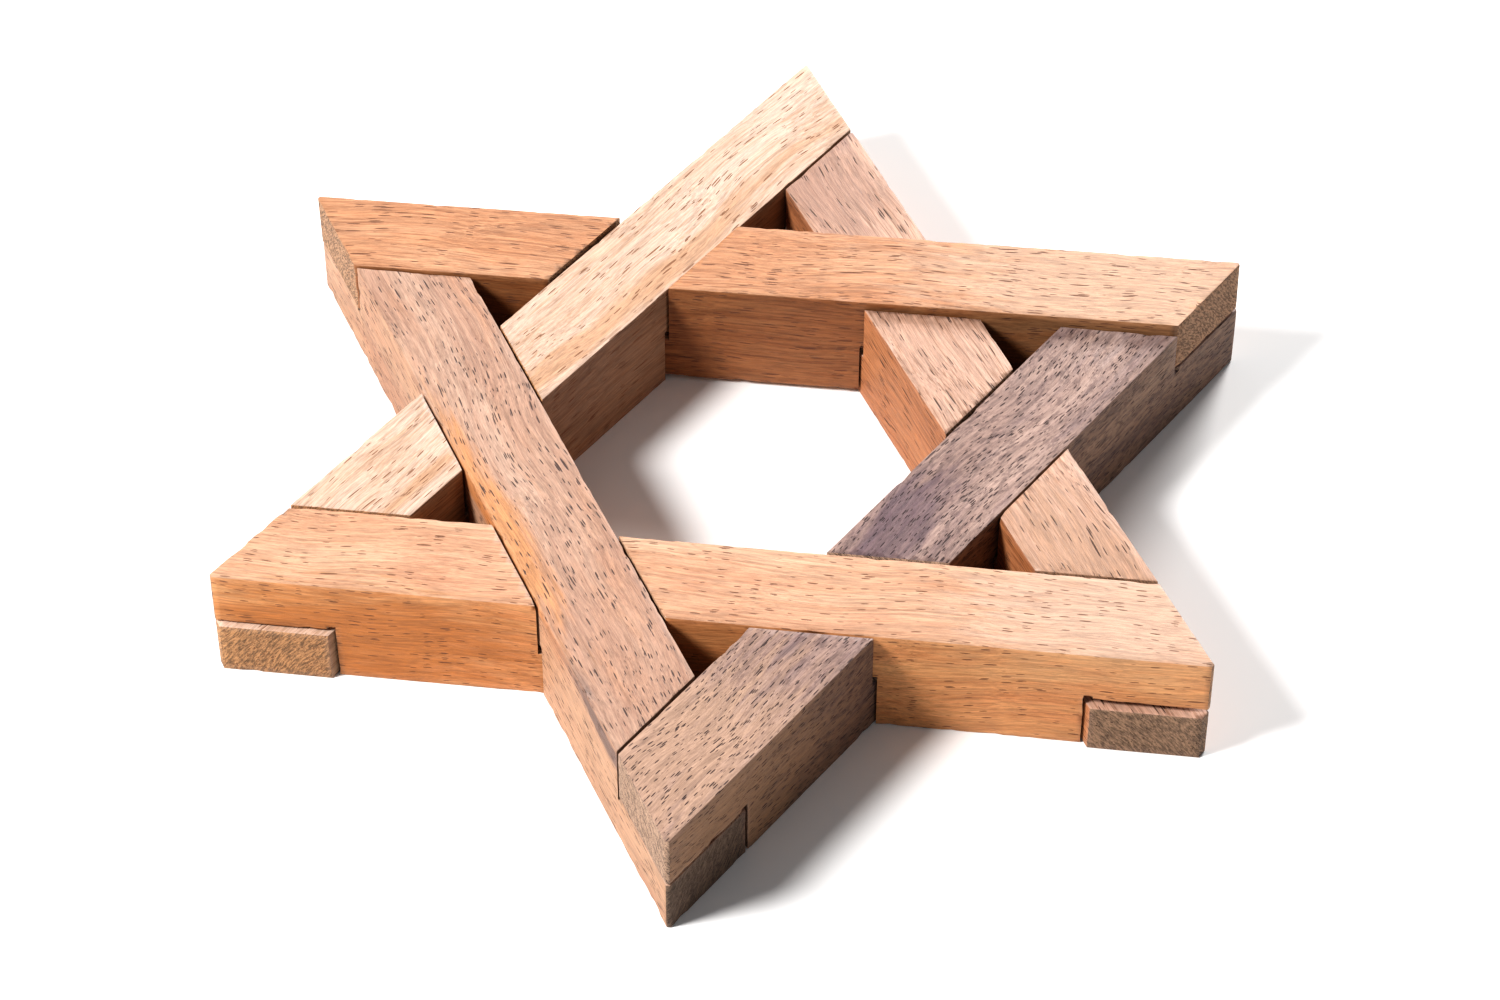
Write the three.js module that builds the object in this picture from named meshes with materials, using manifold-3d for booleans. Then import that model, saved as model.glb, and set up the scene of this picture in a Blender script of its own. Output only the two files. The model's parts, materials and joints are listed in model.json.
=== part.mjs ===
// Six-stick star burr puzzle.
//
// Six square-ended sticks lie flat and form two interlaced triangles, a six-pointed star.
// Each stick meets four others in half laps: one at each tip, where two sticks of one triangle
// meet at 60 degrees, and two where the triangles cross. Units are millimetres, +Z is up, and
// the origin is the middle of the star on the surface that it lies on. +Y points to the star's
// back tip, and +X to the right.

import * as THREE from 'three';
import { mergeVertices } from 'three/addons/utils/BufferGeometryUtils.js';
import Module from 'manifold-3d';

const wasm = await Module();
wasm.setup();

// Driving dimensions.
const side_length = 150;        // outer edge of each triangle, tip to tip
const stick_width = 16;         // a stick, seen from above
const stick_height = 19;        // a stick, top to bottom
const side_clearance = 0.35;    // between a stick and each wall of a notch that it lies in
const lap_clearance = 0.3;      // between the two faces of a half lap
const tip_flat = 0.6;           // how far each sharp tip is worn back
const kerf_width = 1.1;         // the saw cut along the foot of each notch wall
const kerf_depth = 0.7;         // how far it runs past the face of the lap
const block_proud = 0.9;        // how far the blocks under the front stick stand out of its face
const block_tip_flat = 1.6;     // how far the tips of those blocks are worn back
const key_slack = 0.7;          // extra room over the key's front block
const back_stick_rise = 2;      // how far the back stick's right end sits above the others

// Where things are.
const star_radius = side_length / Math.sqrt(3);     // middle to a tip
const face_distance = star_radius / 2;              // middle to a stick's outer face
const tip_angle = THREE.MathUtils.degToRad(60);
const lap_level = stick_height / 2;
const reach = 2 * (side_length + stick_width);      // longer than any cut
const clear_height = 2 * (stick_height + back_stick_rise);

// The way each stick's outer face looks, in degrees from +X, with its wood's colour.
const sticks = {
  front_stick: { facing: -90, color: 0xdfb186, roughness: 0.62 },
  back_stick: { facing: 90, color: 0xd09a6a, roughness: 0.66 },
  back_left_stick: { facing: 150, color: 0xe0bb90, roughness: 0.64 },
  front_left_stick: { facing: 210, color: 0xc08f70, roughness: 0.68 },
  front_right_stick: { facing: -30, color: 0x83645a, roughness: 0.7 },
  key_stick: { facing: 30, color: 0xcc9468, roughness: 0.66 },
};

// Which stick lies over which, and the height that the two meet at. Slack is room left over the
// lower stick, and proud is how far its end stands out of the upper stick's outer face.
const laps = [
  { over: 'back_left_stick', under: 'key_stick', level: lap_level },
  { over: 'back_stick', under: 'front_right_stick', level: lap_level + back_stick_rise },
  { over: 'front_stick', under: 'key_stick', level: lap_level, slack: key_slack, proud: block_proud },
  { over: 'front_right_stick', under: 'front_left_stick', level: lap_level },
  { over: 'front_stick', under: 'back_left_stick', level: lap_level, proud: block_proud },
  { over: 'back_stick', under: 'front_left_stick', level: lap_level },
  { over: 'back_left_stick', under: 'back_stick', level: lap_level },
  { over: 'front_left_stick', under: 'back_left_stick', level: lap_level },
  { over: 'front_left_stick', under: 'front_stick', level: lap_level },
  { over: 'back_stick', under: 'key_stick', level: lap_level },
  { over: 'front_right_stick', under: 'key_stick', level: lap_level },
  { over: 'front_stick', under: 'front_right_stick', level: lap_level },
];

// A stick's own frame has X along it, Y out of its outer face, and Z up.
function place_of(name) {
  const angle = THREE.MathUtils.degToRad(sticks[name].facing);
  return {
    position: new THREE.Vector3(Math.cos(angle), Math.sin(angle), 0).multiplyScalar(face_distance),
    turn: angle - Math.PI / 2,
  };
}

function frame_of(name) {
  const { position, turn } = place_of(name);
  return new THREE.Matrix4().makeRotationZ(turn).setPosition(position);
}

// Two sticks of one triangle meet at a tip, and sticks of different triangles cross.
function meet_at_tip(name_a, name_b) {
  const between = Math.abs(sticks[name_a].facing - sticks[name_b].facing) % 360;
  return between === 120 || between === 240;
}

function solid_from(geometry) {
  const bare = geometry.clone();
  bare.deleteAttribute('normal');
  bare.deleteAttribute('uv');
  const welded = mergeVertices(bare, 1e-5);
  return new wasm.Manifold(new wasm.Mesh({
    numProp: 3,
    vertProperties: new Float32Array(welded.attributes.position.array),
    triVerts: new Uint32Array(welded.index.array),
  }));
}

function geometry_from(solid) {
  const { numProp, vertProperties, triVerts } = solid.getMesh();
  const corners = new THREE.InterleavedBuffer(vertProperties, numProp);
  const indexed = new THREE.BufferGeometry();
  indexed.setAttribute('position', new THREE.InterleavedBufferAttribute(corners, 3, 0));
  indexed.setIndex(new THREE.BufferAttribute(triVerts, 1));
  const flat = indexed.toNonIndexed();
  flat.computeVertexNormals();
  return flat;
}

// The lap that hides a stick's end, if it is the lower one there and stands proud. Side is -1 for
// the stick's left end and 1 for its right end, in the stick's own frame.
function proud_lap(name, side) {
  return laps.find(({ over, under, proud }) => {
    const neighbour = place_of(over).position.applyMatrix4(frame_of(name).invert());
    return proud && under === name && Math.sign(neighbour.x) === side;
  });
}

// One end of a stick, seen from above: the inner corner and the two corners of the worn tip. It is
// sawn parallel to the next stick's outer face, and flush with it unless the end stands proud.
function end_corners(name, side) {
  const lap = proud_lap(name, side);
  const tip = side_length / 2 + (lap ? lap.proud / Math.sin(tip_angle) : 0);
  const worn = (lap ? block_tip_flat : tip_flat) / Math.cos(tip_angle / 2);
  return [
    new THREE.Vector2(side * (tip - stick_width / Math.tan(tip_angle)), -stick_width),
    new THREE.Vector2(side * (tip - worn * Math.cos(tip_angle)), -worn * Math.sin(tip_angle)),
    new THREE.Vector2(side * (tip - worn), 0),
  ];
}

// A whole stick before its laps are cut.
function stick_blank(name) {
  const outline = new THREE.Shape([...end_corners(name, 1), ...end_corners(name, -1).reverse()]);
  return new THREE.ExtrudeGeometry(outline, { depth: stick_height, bevelEnabled: false });
}

// The back stick climbs from its left end, which stays on the surface.
function tilted_blank(name) {
  const blank = stick_blank(name);
  blank.translate(side_length / 2, 0, 0);
  blank.rotateY(-Math.asin(back_stick_rise / side_length));
  blank.translate(-side_length / 2, 0, 0);
  return blank;
}

// A straight cut along a neighbour, between two distances from its outer face and two heights.
function cut_along(name, neighbour, inner_side, outer_side, bottom, top) {
  const cut = new THREE.BoxGeometry(reach, outer_side - inner_side, top - bottom);
  cut.translate(0, (outer_side + inner_side) / 2, (top + bottom) / 2);
  cut.applyMatrix4(frame_of(name).invert().multiply(frame_of(neighbour)));
  return solid_from(cut);
}

// The notch that a neighbour lies in, with the saw cut at the foot of each wall. At a tip the
// notch runs out past the neighbour's outer face, so that nothing is left beyond the lap. Face is
// the height of the lap's face, and open is 1 where the notch opens upwards and -1 downwards.
function notch(name, neighbour, face, open) {
  const at_tip = meet_at_tip(name, neighbour);
  const inner_wall = -stick_width - side_clearance;
  const outer_wall = at_tip ? stick_width : side_clearance;
  const mouth = face + open * clear_height;
  const foot = face - open * kerf_depth;
  const span = (a, b) => [Math.min(a, b), Math.max(a, b)];
  let cut = cut_along(name, neighbour, inner_wall, outer_wall, ...span(face, mouth));
  cut = cut.add(cut_along(name, neighbour, inner_wall, inner_wall + kerf_width, ...span(foot, mouth)));
  if (!at_tip) {
    cut = cut.add(cut_along(name, neighbour, outer_wall - kerf_width, outer_wall, ...span(foot, mouth)));
  }
  return cut;
}

// The back left stick's lower half is cut away from the back stick's notch to the back tip, so
// that the back stick can slide out that way once the key is gone.
function long_notch() {
  const ceiling = lap_level + lap_clearance / 2;
  const start = side_length / 6;
  const end = side_length / 2;
  const cut = new THREE.BoxGeometry(end - start, 3 * stick_width, clear_height);
  cut.translate((start + end) / 2, 0, ceiling - clear_height / 2);
  return solid_from(cut);
}

function stick_solid(name) {
  let solid = solid_from(name === 'back_stick' ? tilted_blank(name) : stick_blank(name));
  for (const { over, under, level, slack = 0 } of laps) {
    if (name === over) {
      solid = solid.subtract(notch(name, under, level + lap_clearance / 2, -1));
    }
    if (name === under) {
      solid = solid.subtract(notch(name, over, level - lap_clearance / 2 - slack, 1));
    }
  }
  return name === 'back_left_stick' ? solid.subtract(long_notch()) : solid;
}

function stick(name) {
  const { color, roughness } = sticks[name];
  const { position, turn } = place_of(name);
  const material = new THREE.MeshStandardMaterial({ color, roughness, metalness: 0 });
  const mesh = new THREE.Mesh(geometry_from(stick_solid(name)), material);
  mesh.name = name;
  mesh.position.copy(position);
  mesh.rotation.z = turn;
  return mesh;
}

const puzzle = new THREE.Group();
for (const name of Object.keys(sticks)) {
  puzzle.add(stick(name));
}

export default puzzle;
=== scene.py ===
"""The looks of a six-stick wooden star burr: worn sticks, each with its own procedural wood."""
import json
from math import cos, radians, sin

import bmesh
import bpy
from mathutils import Matrix, Vector, noise


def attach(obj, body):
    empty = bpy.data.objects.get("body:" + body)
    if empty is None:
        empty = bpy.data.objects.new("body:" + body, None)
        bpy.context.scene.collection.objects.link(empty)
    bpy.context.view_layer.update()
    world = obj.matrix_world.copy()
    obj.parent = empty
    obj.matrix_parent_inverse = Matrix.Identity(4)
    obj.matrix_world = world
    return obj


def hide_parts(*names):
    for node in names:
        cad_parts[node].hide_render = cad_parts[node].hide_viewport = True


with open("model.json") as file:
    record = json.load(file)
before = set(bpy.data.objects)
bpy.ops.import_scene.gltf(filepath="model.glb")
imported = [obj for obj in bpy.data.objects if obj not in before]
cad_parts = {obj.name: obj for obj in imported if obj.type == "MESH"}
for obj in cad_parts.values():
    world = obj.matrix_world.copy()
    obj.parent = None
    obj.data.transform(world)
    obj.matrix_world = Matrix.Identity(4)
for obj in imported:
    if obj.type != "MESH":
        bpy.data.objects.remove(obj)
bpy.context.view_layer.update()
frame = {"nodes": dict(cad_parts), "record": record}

MM = 0.001

# ---------------------------------------------------------------- the sticks

# The way each stick's outer face looks, in degrees from +X, as in the part's source.
FACING = {
    "front_stick": -90,
    "back_stick": 90,
    "back_left_stick": 150,
    "front_left_stick": 210,
    "front_right_stick": -30,
    "key_stick": 30,
}

EDGE_RADIUS = 0.16 * MM         # how far the sawn edges are rubbed round
EDGE_STEPS = 2                  # faces across a rubbed edge
RUBBED_ANGLE = radians(25)      # only edges that turn by more than this are rubbed
SMALL_FACE = 26 * MM * MM       # smaller faces are the walls of saw cuts, whose edges stay sharp
NOTCH_REACH = 45 * MM           # the notches between the tips lie within this, and stay sharp
ALONG_GRAIN = 0.9               # an edge runs along the grain if its direction's X passes this
SAWN_END = 0.5                  # a face is a sawn end if its normal's X passes this
STICK_SIDE = 0.6                # a face is on a stick's side if its normal's Y passes this
SAME_POINT = 0.005 * MM         # points nearer than this are one point
CUT_REACH = 1e-6                # points nearer than this to a cut, in metres, lie on it
SAME_FACE = radians(1)          # faces that meet at less than this are one face
SHARP_ANGLE = radians(50)       # edges that turn by more than this are shaded sharp
GRID_STEP = 1.3 * MM            # spacing of the points that carry the surface's unevenness
FACE_WAVE = 0.07 * MM           # depth of the hollows left by sawing and sanding
WAVE_LENGTH = 14 * MM
NICK_DEPTH = 0.5 * MM           # depth of the chips along the edges
NICK_LENGTH = 2.2 * MM
NICK_START = 0.18               # an edge is chipped where its noise passes this
SEED_SKEW = 0.37                # each seed moves the unevenness by 1 in X and by this in Y


def stick_frame(cad, facing):
    """A stick's own frame: X along the grain, Y out of its outer face, Z up."""
    turn = Matrix.Rotation(radians(facing - 90), 4, "Z")
    outward = turn.col[1].xyz
    distance = max(vertex.co.dot(outward) for vertex in cad.data.vertices)
    return Matrix.Translation(outward * distance) @ turn


def rounded_edges(bm):
    """The convex edges between the stick's larger faces, but not the mouths of its notches."""
    def worn(edge):
        if not (edge.is_manifold and edge.is_convex):
            return False
        if min(face.calc_area() for face in edge.link_faces) < SMALL_FACE:
            return False
        start, end = (vertex.co for vertex in edge.verts)
        across = abs((end - start).normalized().x) < ALONG_GRAIN
        at_notch = across and abs(start.x + end.x) / 2 < NOTCH_REACH
        return not at_notch and edge.calc_face_angle() > RUBBED_ANGLE
    return [edge for edge in bm.edges if worn(edge)]


def cut_into_grid(bm):
    """Planes cut the faces into small quads, so that the surface can be uneven."""
    corners = [vertex.co for vertex in bm.verts]
    for axis in range(3):
        normal = Vector([float(i == axis) for i in range(3)])
        low = min(corner[axis] for corner in corners)
        high = max(corner[axis] for corner in corners)
        steps = int((high - low) / GRID_STEP)
        for i in range(1, steps):
            geometry = bm.verts[:] + bm.edges[:] + bm.faces[:]
            point = normal * (low + (high - low) * i / steps)
            bmesh.ops.bisect_plane(bm, geom=geometry, plane_co=point, plane_no=normal, dist=CUT_REACH)


def wear_surface(bm, edge_faces, seed):
    """Faces sink into shallow hollows and edges chip. Everything moves inwards."""
    bm.normal_update()
    shift = Vector((seed, seed * SEED_SKEW, 0))
    moves = []
    for vertex in bm.verts:
        wave = 0.5 + 0.5 * noise.noise(vertex.co / WAVE_LENGTH + shift)
        depth = FACE_WAVE * wave
        if any(face[edge_faces] for face in vertex.link_faces):
            chip = noise.noise(vertex.co / NICK_LENGTH + shift) - NICK_START
            depth += NICK_DEPTH * max(0.0, chip)
        moves.append((vertex, vertex.normal * depth))
    for vertex, move in moves:
        vertex.co -= move


def store(mesh, name, domain, values, kind="FLOAT", field="value"):
    """Keeps one value a point or face under a name that the material reads."""
    attribute = mesh.attributes.new(name, kind, domain)
    attribute.data.foreach_set(field, values)


def worn_mesh(cad, place, seed):
    """The stick's CAD shape with rubbed edges, and what its wood needs from its own frame."""
    bm = bmesh.new()
    bm.from_mesh(cad.data)
    bm.transform(place.inverted())
    bmesh.ops.remove_doubles(bm, verts=bm.verts, dist=SAME_POINT)
    bmesh.ops.dissolve_limit(bm, angle_limit=SAME_FACE, verts=bm.verts, edges=bm.edges)
    edge_faces = bm.faces.layers.int.new("edge")
    made = bmesh.ops.bevel(
        bm, geom=rounded_edges(bm), offset=EDGE_RADIUS, offset_type="OFFSET",
        segments=EDGE_STEPS, profile=0.5, affect="EDGES", clamp_overlap=True)
    for face in made["faces"]:
        face[edge_faces] = 1
    cut_into_grid(bm)
    wear_surface(bm, edge_faces, seed)
    bm.normal_update()
    rubbed = [float(any(f[edge_faces] for f in v.link_faces)) for v in bm.verts]
    sawn_end = [float(abs(face.normal.x) > SAWN_END) for face in bm.faces]
    on_side = [float(abs(face.normal.y) > STICK_SIDE) for face in bm.faces]
    grain = [coordinate / MM for vertex in bm.verts for coordinate in vertex.co]
    bm.transform(place)
    mesh = bpy.data.meshes.new(cad.name + "_worn")
    bm.to_mesh(mesh)
    bm.free()
    mesh.attributes.remove(mesh.attributes["edge"])
    store(mesh, "rubbed", "POINT", rubbed)
    store(mesh, "sawn_end", "FACE", sawn_end)
    store(mesh, "on_side", "FACE", on_side)
    store(mesh, "grain", "POINT", grain, "FLOAT_VECTOR", "vector")
    mesh.shade_smooth()
    mesh.set_sharp_from_angle(angle=SHARP_ANGLE)
    return mesh


# ---------------------------------------------------------------- the woods

class Graph:
    """A material's node tree, with short names for the nodes that the woods use."""

    def __init__(self, name):
        self.material = bpy.data.materials.new(name)
        self.material.use_nodes = True
        self.nodes = self.material.node_tree.nodes
        self.links = self.material.node_tree.links
        self.shader = self.nodes["Principled BSDF"]

    def add(self, kind, inputs, output=0, **settings):
        node = self.nodes.new("ShaderNode" + kind)
        for key, value in settings.items():
            setattr(node, key, value)
        for key, value in inputs.items():
            if isinstance(value, bpy.types.NodeSocket):
                self.links.new(value, node.inputs[key])
            else:
                node.inputs[key].default_value = value
        return node.outputs[output]

    def math(self, operation, a, b=0.0, clamp=False):
        return self.add("Math", {0: a, 1: b}, operation=operation, use_clamp=clamp)

    def vector(self, operation, a, b):
        return self.add("VectorMath", {0: a, 1: b}, operation=operation)

    def length(self, vector):
        return self.add("VectorMath", {0: vector}, "Value", operation="LENGTH")

    def ramp(self, value, start, end, low=0.0, high=1.0):
        inputs = {"Value": value, "From Min": start, "From Max": end, "To Min": low, "To Max": high}
        return self.add("MapRange", inputs, interpolation_type="SMOOTHSTEP")

    def mix(self, factor, a, b, blend="MIX"):
        def colour(value):
            return value if isinstance(value, bpy.types.NodeSocket) else (*value, 1.0)
        inputs = {0: factor, 6: colour(a), 7: colour(b)}
        return self.add("Mix", inputs, 2, data_type="RGBA", blend_type=blend)

    def tint(self, colour, tone, cover, strength):
        """The colour with a tone over it where cover is high."""
        return self.mix(self.math("MULTIPLY", cover, strength), colour, tone)

    def shade(self, colour, light):
        """The colour made lighter or darker by a factor."""
        grey = self.add("CombineColor", {0: light, 1: light, 2: light})
        return self.mix(1.0, colour, grey, "MULTIPLY")

    def attribute(self, name):
        return self.add("Attribute", {}, "Fac", attribute_name=name)

    def stretched(self, place, size, shift=(0, 0, 0)):
        """Coordinates divided by three sizes in millimetres, and then shifted."""
        scale = [1 / s for s in size]
        return self.add("Mapping", {"Vector": place, "Location": shift, "Scale": scale})

    def noise(self, place, size, detail=2.0, roughness=0.55, shift=(0, 0, 0)):
        vector = self.stretched(place, size, shift)
        inputs = {"Vector": vector, "Scale": 1.0, "Detail": detail, "Roughness": roughness}
        return self.add("TexNoise", inputs)

    def layer(self, place, cover, **grain):
        """Where a noise is high: 0 below the first value of cover, and 1 above its second."""
        return self.ramp(self.noise(place, **grain), *cover)


# The noises that make the wood. A size is that of one feature along X, Y and Z, in millimetres.
BROAD = dict(size=(70, 9, 9), cover=(0.36, 0.64))
CLOUD = dict(size=(24, 5, 5), cover=(0.45, 0.7), detail=4, roughness=0.65, shift=(8, 3, 5))
STREAK = dict(size=(55, 1.3, 1.3), cover=(0.5, 0.68), detail=5, roughness=0.62, shift=(3, 1, 7))
MOTTLING = dict(size=(2.6, 0.9, 0.9), cover=(0.46, 0.62), detail=4, roughness=0.7, shift=(6, 2, 1))
LINE = dict(size=(26, 0.36, 0.36), cover=(0.54, 0.63), shift=(1, 9, 4))
FIBRE = dict(size=(2.6, 0.15, 0.15), detail=3, roughness=0.75)
STRAND = dict(size=(11, 0.5, 0.5), detail=3, roughness=0.7, shift=(4, 4, 2))
TORN_END = dict(size=(0.6, 0.3, 1.7), detail=4, roughness=0.75)
UNEVEN_RINGS = dict(size=(60, 5, 5), detail=3)
RAGGED_RIM = dict(size=(9, 1.5, 1.5), detail=4)

SEED_SHIFT = 41.0               # each seed moves the grain along by this, in millimetres
BEND_SIZE = (45, 26, 26)        # lengths over which the grain wanders, in millimetres
BEND_REACH = (0.0, 7.0, 7.0)    # it wanders by up to half of these
RING_WANDER = 1.6               # how far the rings wander, in rings
RING_START = 0.1                # where the late wood of a ring starts to darken
RING_PEAK = 0.8                 # where in the ring it is darkest
PORE_REACH = (0.17, 0.36)       # least and greatest reach of a pore, as shares of its cell
PORE_RIM = 14.0                 # how sharply a pore ends
FINE_WIDTH = 0.33               # millimetres from one row of fine pores to the next
COARSE_WIDTH = 0.45
COARSE_LENGTH = 1.6             # coarse pores are longer than fine ones by this factor
COARSE_SHIFT = (5.3, 2.1, 8.7)
PATCH_FADE = (0.35, 1.05)       # a patch fades between these shares of its size
PATCH_RAGGED = 1.3              # how ragged its rim is
CLOUD_STRENGTH = 0.7
FIBRE_RANGE = (0.7, 1.3)        # values of fibre and strand together
FIBRE_LIGHT = (0.7, 1.24)       # and how much they darken and lighten the wood
END_GRAIN_TURN = (radians(35), 0, 0)      # the torn lines on a sawn end lean over
END_RANGE = (0.36, 0.64)        # values of the torn end's noise
END_LIGHT = (1.35, 0.3)         # and how much they lighten and darken it
END_STRENGTH = 0.95
PORE_STRENGTH = 0.9
RUBBED_RANGE = (0.35, 0.6)      # rubbed edges pale where the fibre's value passes these
RUBBED_STRENGTH = 0.2
ROUGH_RANGE = (0.3, 0.7)        # values of the fibre
ROUGHNESS = (0.5, 0.68)         # and the roughness that they give
PORE_ROUGHNESS = 0.2            # added in the pores
END_ROUGHNESS = 0.15            # added on the sawn ends
WOOD_SPECULAR = 0.35
FIBRE_HEIGHT = 0.4              # heights are shares of the bump's distance
END_HEIGHT = 0.9
BUMP_DISTANCE = 0.2 * MM
BUMP_STRENGTH = 0.8


def warped_place(g, seed):
    """Millimetres in the stick's own frame, bent a little so that the grain wanders."""
    place = g.add("Attribute", {}, "Vector", attribute_name="grain")
    place = g.vector("ADD", place, (seed * SEED_SHIFT, 0.0, 0.0))
    bend_place = g.stretched(place, BEND_SIZE)
    bend = g.add("TexNoise", {"Vector": bend_place, "Scale": 1.0}, "Color")
    bend = g.vector("SUBTRACT", bend, (0.5, 0.5, 0.5))
    bend = g.vector("MULTIPLY", bend, BEND_REACH)
    return g.vector("ADD", place, bend)


def growth_rings(g, place, pith, spacing):
    """Dark late wood round a pith that lies beside the stick."""
    from_pith = g.vector("SUBTRACT", place, (0.0, *pith))
    radius = g.length(g.vector("MULTIPLY", from_pith, (0.0, 1.0, 1.0)))
    wander = g.math("MULTIPLY", g.noise(place, **UNEVEN_RINGS), RING_WANDER)
    turns = g.math("ADD", g.math("DIVIDE", radius, spacing), wander)
    within_ring = g.math("FRACT", turns)
    rise = g.ramp(within_ring, RING_START, RING_PEAK)
    fall = g.ramp(within_ring, RING_PEAK, 1.0, 1.0, 0.0)
    return g.math("MULTIPLY", rise, fall)


def pores(g, place, length, width, share, shift=(0, 0, 0)):
    """Open vessels: dashes along the grain on the sides, and dots on the sawn ends."""
    vector = g.stretched(place, (length, width, width), shift)
    cell = g.add("TexVoronoi", {"Vector": vector, "Scale": 1.0}, 0, feature="F1").node
    chance = g.add("SeparateColor", {"Color": cell.outputs["Color"]}, "Red")
    present = g.math("GREATER_THAN", chance, 1 - share)
    bulk = g.add("SeparateColor", {"Color": cell.outputs["Color"]}, "Green")
    reach = g.math("MULTIPLY", present, g.ramp(bulk, 0.0, 1.0, *PORE_REACH))
    inside = g.math("SUBTRACT", reach, cell.outputs["Distance"])
    return g.math("MULTIPLY", inside, PORE_RIM, clamp=True)


def patch(g, place, centre, size, seed):
    """A stain, streak or knot: full at its centre, ragged and gone at its rim."""
    place = g.vector("SUBTRACT", place, (seed * SEED_SHIFT, 0.0, 0.0))
    away = g.vector("SUBTRACT", place, centre)
    distance = g.length(g.vector("DIVIDE", away, size))
    ragged = g.math("SUBTRACT", g.noise(place, **RAGGED_RIM), 0.5)
    distance = g.math("ADD", distance, g.math("MULTIPLY", ragged, PATCH_RAGGED))
    return g.ramp(distance, *PATCH_FADE, 1.0, 0.0)


def wood(name, seed, pale, mid, dark, blush, pore, end, pith, ring, rings, streaks, lines, mottle,
         fine, coarse, vessel, side_cut_and_shade, patches, depth=1.0):
    """One stick's wood. Colours are linear, and pith, ring and vessel are in millimetres."""
    g = Graph(name)
    place = warped_place(g, seed)

    # Broad colour, growth rings, and dark streaks and lines along the grain.
    colour = g.mix(g.layer(place, **BROAD), pale, mid)
    colour = g.tint(colour, blush, g.layer(place, **CLOUD), CLOUD_STRENGTH)
    colour = g.tint(colour, mid, growth_rings(g, place, pith, ring), rings)
    colour = g.tint(colour, dark, g.layer(place, **STREAK), streaks)
    colour = g.tint(colour, dark, g.layer(place, **MOTTLING), mottle)
    colour = g.tint(colour, dark, g.layer(place, **LINE), lines)
    for centre, size, strength, tone in patches:
        colour = g.tint(colour, tone, patch(g, place, centre, size, seed), strength)

    # Fibres: a fine light and dark grain.
    fibre = g.noise(place, **FIBRE)
    fibres = g.math("ADD", fibre, g.noise(place, **STRAND))
    colour = g.shade(colour, g.ramp(fibres, *FIBRE_RANGE, *FIBRE_LIGHT))

    # The stick's sides get their own colour factor: partly another cut of the wood than its top,
    # partly painted shade and light for how the light falls on each side.
    side_cut_and_shade_colour = g.mix(1.0, colour, side_cut_and_shade, "MULTIPLY")
    colour = g.mix(g.attribute("on_side"), colour, side_cut_and_shade_colour)

    # The sawn ends have a colour and a torn grain of their own.
    sawn_end = g.attribute("sawn_end")
    turned = g.add("Mapping", {"Vector": place, "Rotation": END_GRAIN_TURN}, vector_type="TEXTURE")
    torn = g.noise(turned, **TORN_END)
    end_colour = g.shade(end, g.ramp(torn, *END_RANGE, *END_LIGHT))
    colour = g.tint(colour, end_colour, sawn_end, END_STRENGTH)

    # Open pores, fine and coarse.
    fine_pores = pores(g, place, vessel, FINE_WIDTH, fine)
    coarse_pores = pores(g, place, vessel * COARSE_LENGTH, COARSE_WIDTH, coarse, COARSE_SHIFT)
    open_pores = g.math("MAXIMUM", fine_pores, coarse_pores)
    colour = g.tint(colour, pore, open_pores, PORE_STRENGTH)

    # Rubbed edges are a little paler.
    rubbed = g.math("MULTIPLY", g.attribute("rubbed"), g.ramp(fibre, *RUBBED_RANGE))
    colour = g.tint(colour, pale, rubbed, RUBBED_STRENGTH)
    g.links.new(colour, g.shader.inputs["Base Color"])

    rough = g.ramp(fibre, *ROUGH_RANGE, *ROUGHNESS)
    rough = g.math("ADD", rough, g.math("MULTIPLY", open_pores, PORE_ROUGHNESS))
    rough = g.math("ADD", rough, g.math("MULTIPLY", sawn_end, END_ROUGHNESS), clamp=True)
    g.links.new(rough, g.shader.inputs["Roughness"])
    g.shader.inputs["Specular IOR Level"].default_value = WOOD_SPECULAR

    # Height: fibres stand, pores sink, and the sawn ends are torn.
    height = g.math("SUBTRACT", g.math("MULTIPLY", fibre, FIBRE_HEIGHT), open_pores)
    torn_height = g.math("MULTIPLY", g.math("MULTIPLY", torn, sawn_end), END_HEIGHT)
    height = g.math("ADD", height, torn_height)
    bump = {"Height": height, "Distance": BUMP_DISTANCE * depth, "Strength": BUMP_STRENGTH}
    g.links.new(g.add("Bump", bump, "Normal"), g.shader.inputs["Normal"])
    return g.material
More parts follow.
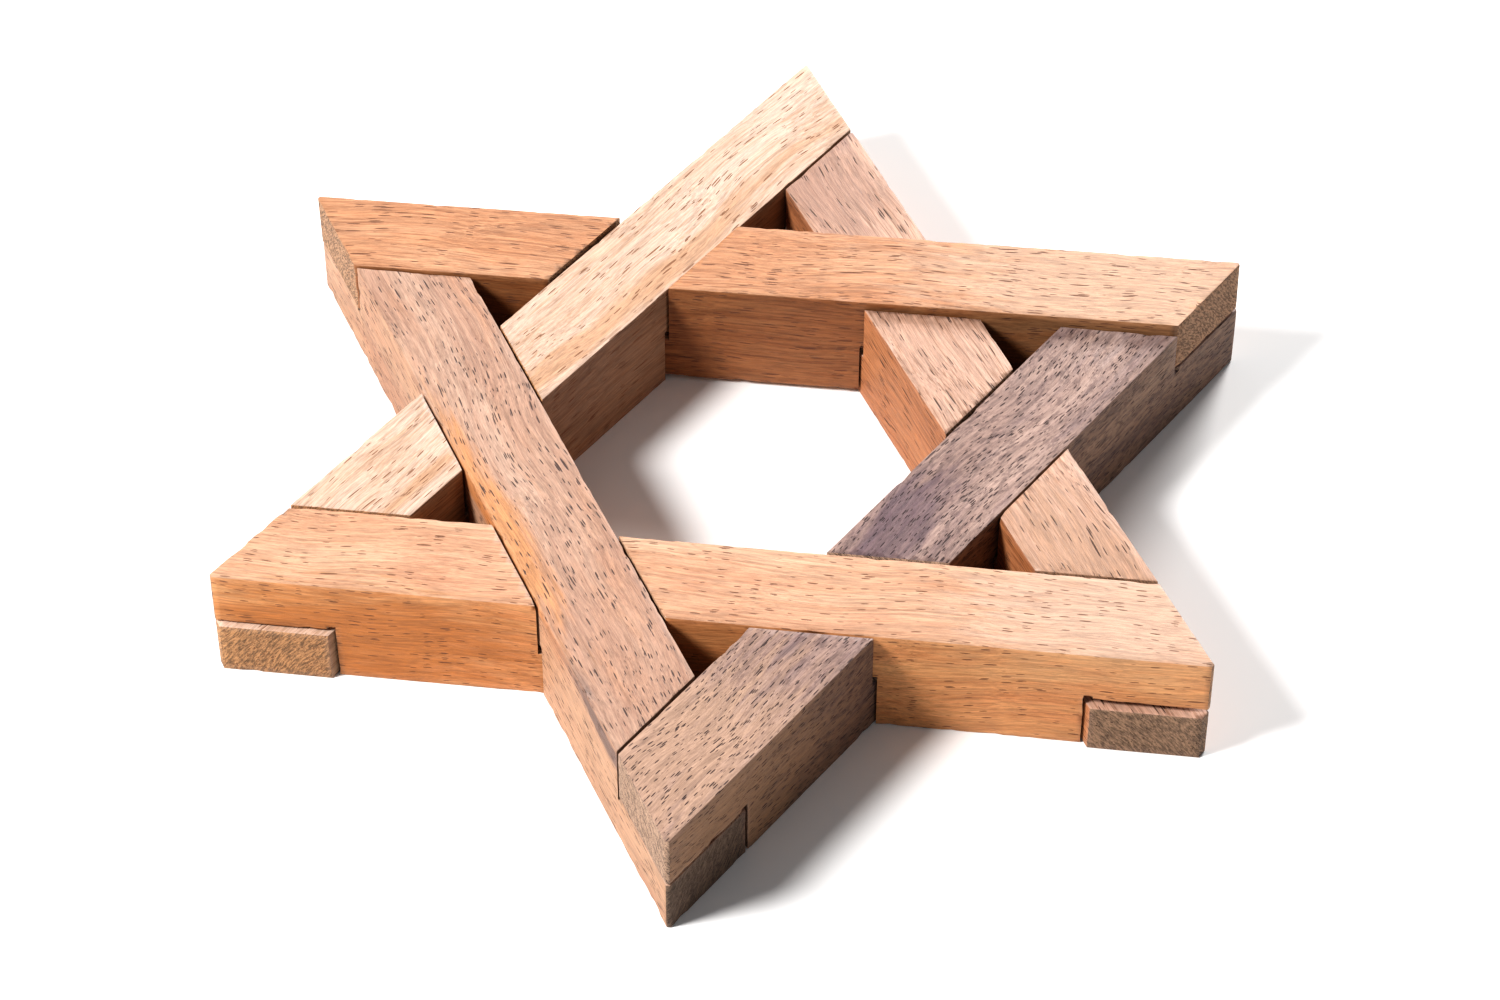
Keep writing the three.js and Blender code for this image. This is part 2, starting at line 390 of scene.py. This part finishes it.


# Patches are given in a stick's own frame, in millimetres: centre, size, strength, colour.
# Each stick's factor for its sides is partly their own cut of wood and partly painted shade and
# light, for how the light falls on each side.
WOODS = {
    "front_stick": dict(
        seed=1, pale=(0.57, 0.355, 0.235), mid=(0.50, 0.27, 0.165), dark=(0.36, 0.155, 0.075),
        blush=(0.55, 0.27, 0.165), pore=(0.15, 0.06, 0.03), end=(0.38, 0.22, 0.13),
        pith=(-40, 30), ring=4.5, rings=0.4, streaks=0.4, lines=0.35, mottle=0.12,
        fine=0.32, coarse=0.02, vessel=2.7, depth=0.8, side_cut_and_shade=(1.06, 0.84, 0.53),
        patches=[((-60, -8, 19), (30, 18, 12), 0.7, (0.54, 0.365, 0.275)),
                 ((52, 0, 9), (34, 5, 14), 0.85, (0.39, 0.165, 0.055))]),
    "back_stick": dict(
        seed=2, pale=(0.53, 0.285, 0.165), mid=(0.46, 0.22, 0.115), dark=(0.27, 0.105, 0.048),
        blush=(0.48, 0.21, 0.10), pore=(0.12, 0.045, 0.025), end=(0.34, 0.19, 0.105),
        pith=(-10, -28), ring=3.2, rings=0.5, streaks=0.5, lines=0.5, mottle=0.2,
        fine=0.42, coarse=0.08, vessel=3.8, side_cut_and_shade=(0.58, 0.46, 0.31),
        patches=[((55, -8, 21), (42, 22, 14), 0.8, (0.52, 0.335, 0.235))]),
    "back_left_stick": dict(
        seed=3, pale=(0.60, 0.44, 0.355), mid=(0.56, 0.385, 0.295), dark=(0.39, 0.215, 0.125),
        blush=(0.54, 0.35, 0.245), pore=(0.22, 0.095, 0.045), end=(0.40, 0.20, 0.085),
        pith=(-60, 12), ring=4.0, rings=0.35, streaks=0.5, lines=0.5, mottle=0.12,
        fine=0.36, coarse=0.1, vessel=4.0, depth=0.8, side_cut_and_shade=(0.6, 0.5, 0.38),
        patches=[((0, -13, 19), (90, 2.4, 12), 0.8, (0.45, 0.25, 0.145))]),
    "front_left_stick": dict(
        seed=4, pale=(0.455, 0.295, 0.22), mid=(0.39, 0.225, 0.158), dark=(0.25, 0.13, 0.09),
        blush=(0.46, 0.235, 0.14), pore=(0.05, 0.028, 0.027), end=(0.14, 0.09, 0.06),
        pith=(-22, -20), ring=3.4, rings=0.5, streaks=0.5, lines=0.3, mottle=0.25,
        fine=0.6, coarse=0.1, vessel=2.9, side_cut_and_shade=(1.0, 0.90, 0.78),
        patches=[((0, 1, 8), (200, 2.5, 14), 0.9, (0.44, 0.28, 0.195)),
                 ((-6, -1, 19), (34, 5, 4), 0.85, (0.52, 0.23, 0.09)),
                 ((-52, 0, 17), (26, 2, 2.4), 0.85, (0.12, 0.08, 0.08))]),
    "front_right_stick": dict(
        seed=5, pale=(0.42, 0.285, 0.24), mid=(0.29, 0.185, 0.155), dark=(0.115, 0.066, 0.062),
        blush=(0.17, 0.115, 0.125), pore=(0.035, 0.02, 0.022), end=(0.40, 0.26, 0.18),
        pith=(-30, 40), ring=3.0, rings=0.5, streaks=0.45, lines=0.2, mottle=0.6,
        fine=0.9, coarse=0.03, vessel=2.1, depth=1.6, side_cut_and_shade=(0.78, 0.68, 0.52),
        patches=[((62, -8, 10), (34, 30, 30), 0.75, (0.44, 0.275, 0.19)),
                 ((-66, -8, 19), (24, 14, 12), 0.5, (0.46, 0.36, 0.35)),
                 ((6, -10, 19), (20, 7, 14), 0.7, (0.10, 0.06, 0.08))]),
    "key_stick": dict(
        seed=6, pale=(0.56, 0.36, 0.275), mid=(0.49, 0.29, 0.21), dark=(0.24, 0.115, 0.065),
        blush=(0.47, 0.27, 0.19), pore=(0.06, 0.03, 0.022), end=(0.25, 0.15, 0.09),
        pith=(-34, -30), ring=2.6, rings=0.5, streaks=0.3, lines=0.7, mottle=0.1,
        fine=0.36, coarse=0.1, vessel=4.6, side_cut_and_shade=(0.78, 0.52, 0.3),
        patches=[((-60, -3, 19), (10, 5, 9), 0.95, (0.11, 0.065, 0.09)),
                 ((-50, -10, 19), (26, 14, 9), 0.8, (0.31, 0.175, 0.13)),
                 ((56, -8, 19), (34, 14, 9), 0.75, (0.37, 0.205, 0.125))]),
}


body_of = {}
for body, nodes in frame["record"]["behaviour"]["bodies"].items():
    body_of.update({node: body for node in nodes})


def dress_stick(name, slot):
    """Puts a worn stick, with its wood, in place of the plain one."""
    cad = frame["nodes"][name]
    place = stick_frame(cad, FACING[name])
    mesh = worn_mesh(cad, place, WOODS[name]["seed"])
    piece = bpy.data.objects.new(name + "_worn", mesh)
    bpy.context.scene.collection.objects.link(piece)
    mesh.materials.append(wood(slot, **WOODS[name]))
    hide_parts(name)
    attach(piece, body_of[name])


for subpart in frame["record"]["subparts"]:
    dress_stick(subpart["node"], subpart["material_slot"])

# ---------------------------------------------------------------- the stage

FLOOR_SIZE = 6.0                # metres
FLOOR_COLOUR = (0.90, 0.90, 0.91, 1)
FLOOR_ROUGHNESS = 0.8
FLOOR_SPECULAR = 0.1
ROOM_COLOUR = (0.96, 0.98, 1.0, 1)
ROOM_LIGHT = 0.215
WARM_WHITE = (1.0, 0.985, 0.96)

# Each lamp: its azimuth and height in degrees as seen from the middle of the star, its distance
# and size in metres, and its power in watts.
LAMPS = {
    "key": dict(angles=(208, 45), distance=1.2, size=0.34, power=20.5),
    "fill": dict(angles=(72, 21), distance=1.5, size=0.5, power=33),
}


def direction(azimuth, height):
    """A unit vector, from angles in degrees."""
    azimuth = radians(azimuth)
    height = radians(height)
    return Vector((cos(azimuth) * cos(height), sin(azimuth) * cos(height), sin(height)))


def aim(thing, place, target):
    """Puts a lamp or camera in its place and points it at the target."""
    thing.location = place
    thing.rotation_euler = (target - place).to_track_quat("-Z", "Y").to_euler()
    bpy.context.scene.collection.objects.link(thing)


def add_floor():
    half = FLOOR_SIZE / 2
    corners = [(-half, -half, 0), (half, -half, 0), (half, half, 0), (-half, half, 0)]
    mesh = bpy.data.meshes.new("floor")
    mesh.from_pydata(corners, [], [(0, 1, 2, 3)])
    g = Graph("floor")
    g.shader.inputs["Base Color"].default_value = FLOOR_COLOUR
    g.shader.inputs["Roughness"].default_value = FLOOR_ROUGHNESS
    g.shader.inputs["Specular IOR Level"].default_value = FLOOR_SPECULAR
    mesh.materials.append(g.material)
    floor = bpy.data.objects.new("floor", mesh)
    bpy.context.scene.collection.objects.link(floor)


def add_room_light():
    world = bpy.data.worlds.new("room")
    world.use_nodes = True
    background = world.node_tree.nodes["Background"]
    background.inputs["Color"].default_value = ROOM_COLOUR
    background.inputs["Strength"].default_value = ROOM_LIGHT
    bpy.context.scene.world = world


def add_lamp(name, angles, distance, size, power):
    lamp = bpy.data.lights.new(name, "AREA")
    lamp.shape = "DISK"
    lamp.size = size
    lamp.energy = power
    lamp.color = WARM_WHITE
    aim(bpy.data.objects.new(name, lamp), direction(*angles) * distance, Vector((0, 0, 0)))


CAMERA_ANGLES = (-82.95, 45.05)           # azimuth and height in degrees, fitted to the photo
CAMERA_DISTANCE = 0.6749                  # metres, as the target is
CAMERA_TARGET = Vector((0.0021, -0.0080, 0.0095))
CAMERA_LENS = 105.0                       # millimetres
SENSOR_WIDTH = 36.0


def add_camera():
    lens = bpy.data.cameras.new("camera")
    lens.lens = CAMERA_LENS
    lens.sensor_width = SENSOR_WIDTH
    camera = bpy.data.objects.new("camera", lens)
    aim(camera, CAMERA_TARGET + direction(*CAMERA_ANGLES) * CAMERA_DISTANCE, CAMERA_TARGET)
    bpy.context.scene.camera = camera


add_floor()
add_room_light()
for lamp_name, lamp in LAMPS.items():
    add_lamp(lamp_name, **lamp)
add_camera()
bpy.context.scene.view_settings.view_transform = "Standard"
bpy.context.scene.view_settings.look = "Medium High Contrast"
